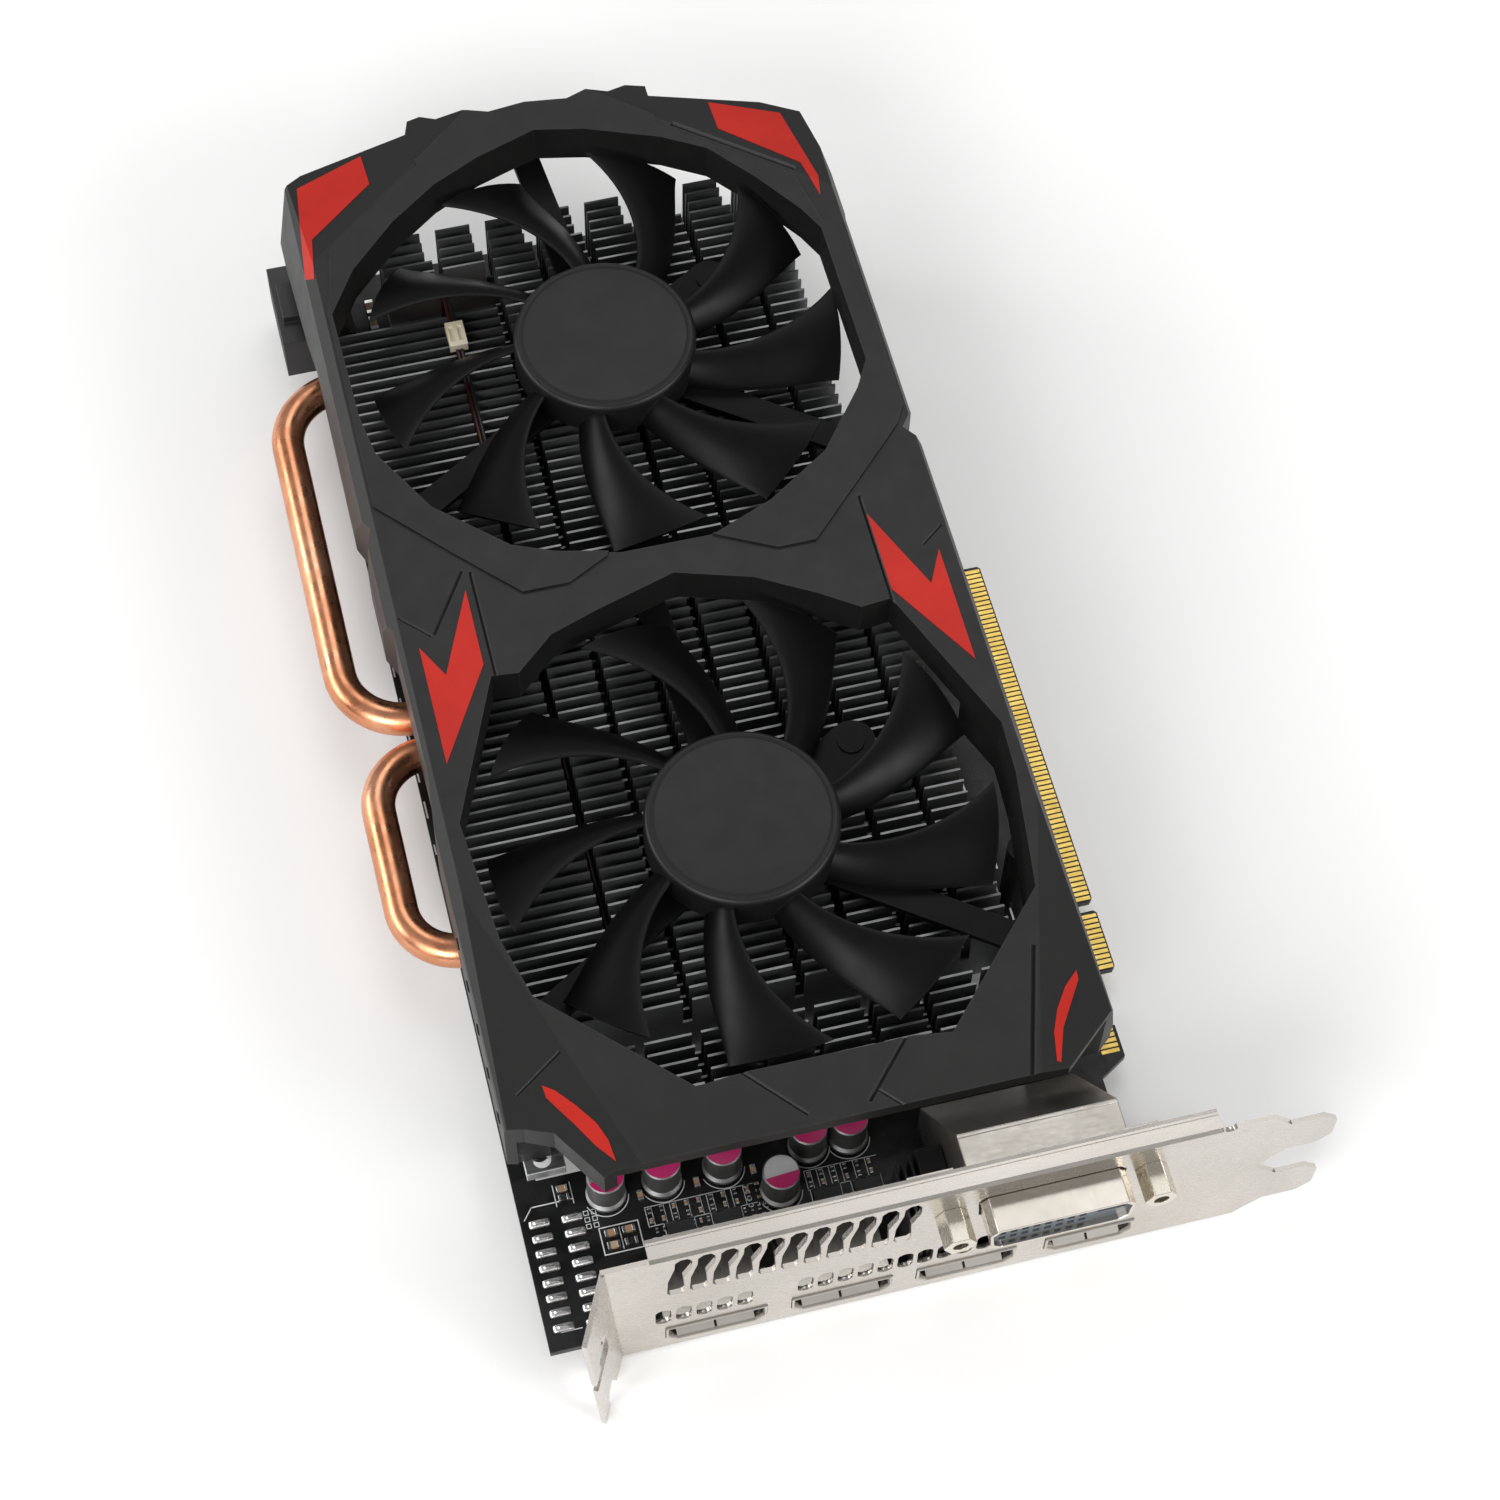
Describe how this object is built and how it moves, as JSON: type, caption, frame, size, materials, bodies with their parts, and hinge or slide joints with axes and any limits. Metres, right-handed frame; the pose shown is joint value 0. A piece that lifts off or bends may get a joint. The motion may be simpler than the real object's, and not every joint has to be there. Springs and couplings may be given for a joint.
{
  "type": "graphics card",
  "caption": "Two-slot graphics card with a finned heat-pipe cooler, a faceted shroud with axial fans that turn, and a plated bracket with display sockets.",
  "frame": {"origin": "middle of the bounding box's base; Z = 0 is the lower edge of the slot bracket", "axes": "+X towards the edge contacts, +Y from the bracket to the far end, +Z from the board to the fans"},
  "size_m": [0.1426, 0.2432, 0.0395],
  "materials": {
    "board": "satin solder mask",
    "gold": "plated",
    "tin": "solder",
    "ceramic": "matte",
    "chip": "moulded epoxy",
    "can": "satin",
    "can_print": "print",
    "seal": "matte",
    "choke": "ferrite",
    "package": "laminate",
    "die": "polished silicon",
    "thermal_pad": "soft",
    "socket": "moulded nylon",
    "bracket": "nickel plated",
    "screw": "black zinc",
    "shell": "nickel plated",
    "hood": "tin plated",
    "post": "nickel plated",
    "copper": "bare copper",
    "fin": "satin",
    "plate": "satin",
    "spring": "bright",
    "shroud": "fine moulded grain",
    "decal": "print",
    "fan": "satin moulded",
    "bronze": "sintered bronze",
    "lamination": "varnished",
    "winding": "enamelled wire",
    "motor_board": "solder mask",
    "lead": "wire jacket",
    "plug": "moulded nylon",
    "magnet": "bonded magnet",
    "shaft": "ground"
  },
  "bodies": {
    "card": {"circuit_board": "board", "edge_contacts": "gold", "solder_pads": "tin", "ceramic_parts": "ceramic", "small_chips": "chip", "capacitor_cans": "can", "capacitor_marks": "can_print", "capacitor_seals": "seal", "power_chokes": "choke", "power_transistors": "chip", "memory_chips": "chip", "gpu_package": "package", "gpu_die": "die", "thermal_pads": "thermal_pad", "power_socket": "socket", "power_pins": "gold", "bracket": "bracket", "board_screws": "screw", "dvi_shell": "shell", "dvi_insulator": "socket", "dvi_hood": "hood", "dvi_posts": "post", "displayport_shells": "shell", "displayport_tongues": "socket", "hdmi_shell": "shell", "hdmi_tongue": "socket", "cold_plate": "plate", "power_stage_plate": "plate", "heat_pipe_near": "copper", "heat_pipe_far": "copper", "fin_stack_main": "fin", "fin_stack_front": "fin", "shroud_clip": "plate", "back_brace": "spring", "brace_screws": "screw", "brace_springs": "spring", "shroud": "shroud", "shroud_decals": "decal", "fan_screws": "screw", "fan_header": "plug", "fan_plug": "plug", "fan_near_frame": "fan", "fan_near_bearing": "bronze", "fan_near_stator": "lamination", "fan_near_coils": "winding", "fan_near_board": "motor_board", "fan_near_lead": "lead", "fan_far_frame": "fan", "fan_far_bearing": "bronze", "fan_far_stator": "lamination", "fan_far_coils": "winding", "fan_far_board": "motor_board", "fan_far_lead": "lead"},
    "near_rotor": {"fan_near_impeller": "fan", "fan_near_magnet": "magnet", "fan_near_shaft": "shaft"},
    "far_rotor": {"fan_far_impeller": "fan", "fan_far_magnet": "magnet", "fan_far_shaft": "shaft"}
  },
  "joints": [
    {"name": "near_fan_spin", "type": "hinge", "parent": "card", "child": "near_rotor", "pos_m": [-0.00876, -0.03682, 0.033], "axis": [0, 0, 1], "continuous": true},
    {"name": "far_fan_spin", "type": "hinge", "parent": "card", "child": "far_rotor", "pos_m": [-0.00876, 0.06538, 0.033], "axis": [0, 0, 1], "continuous": true}
  ]
}
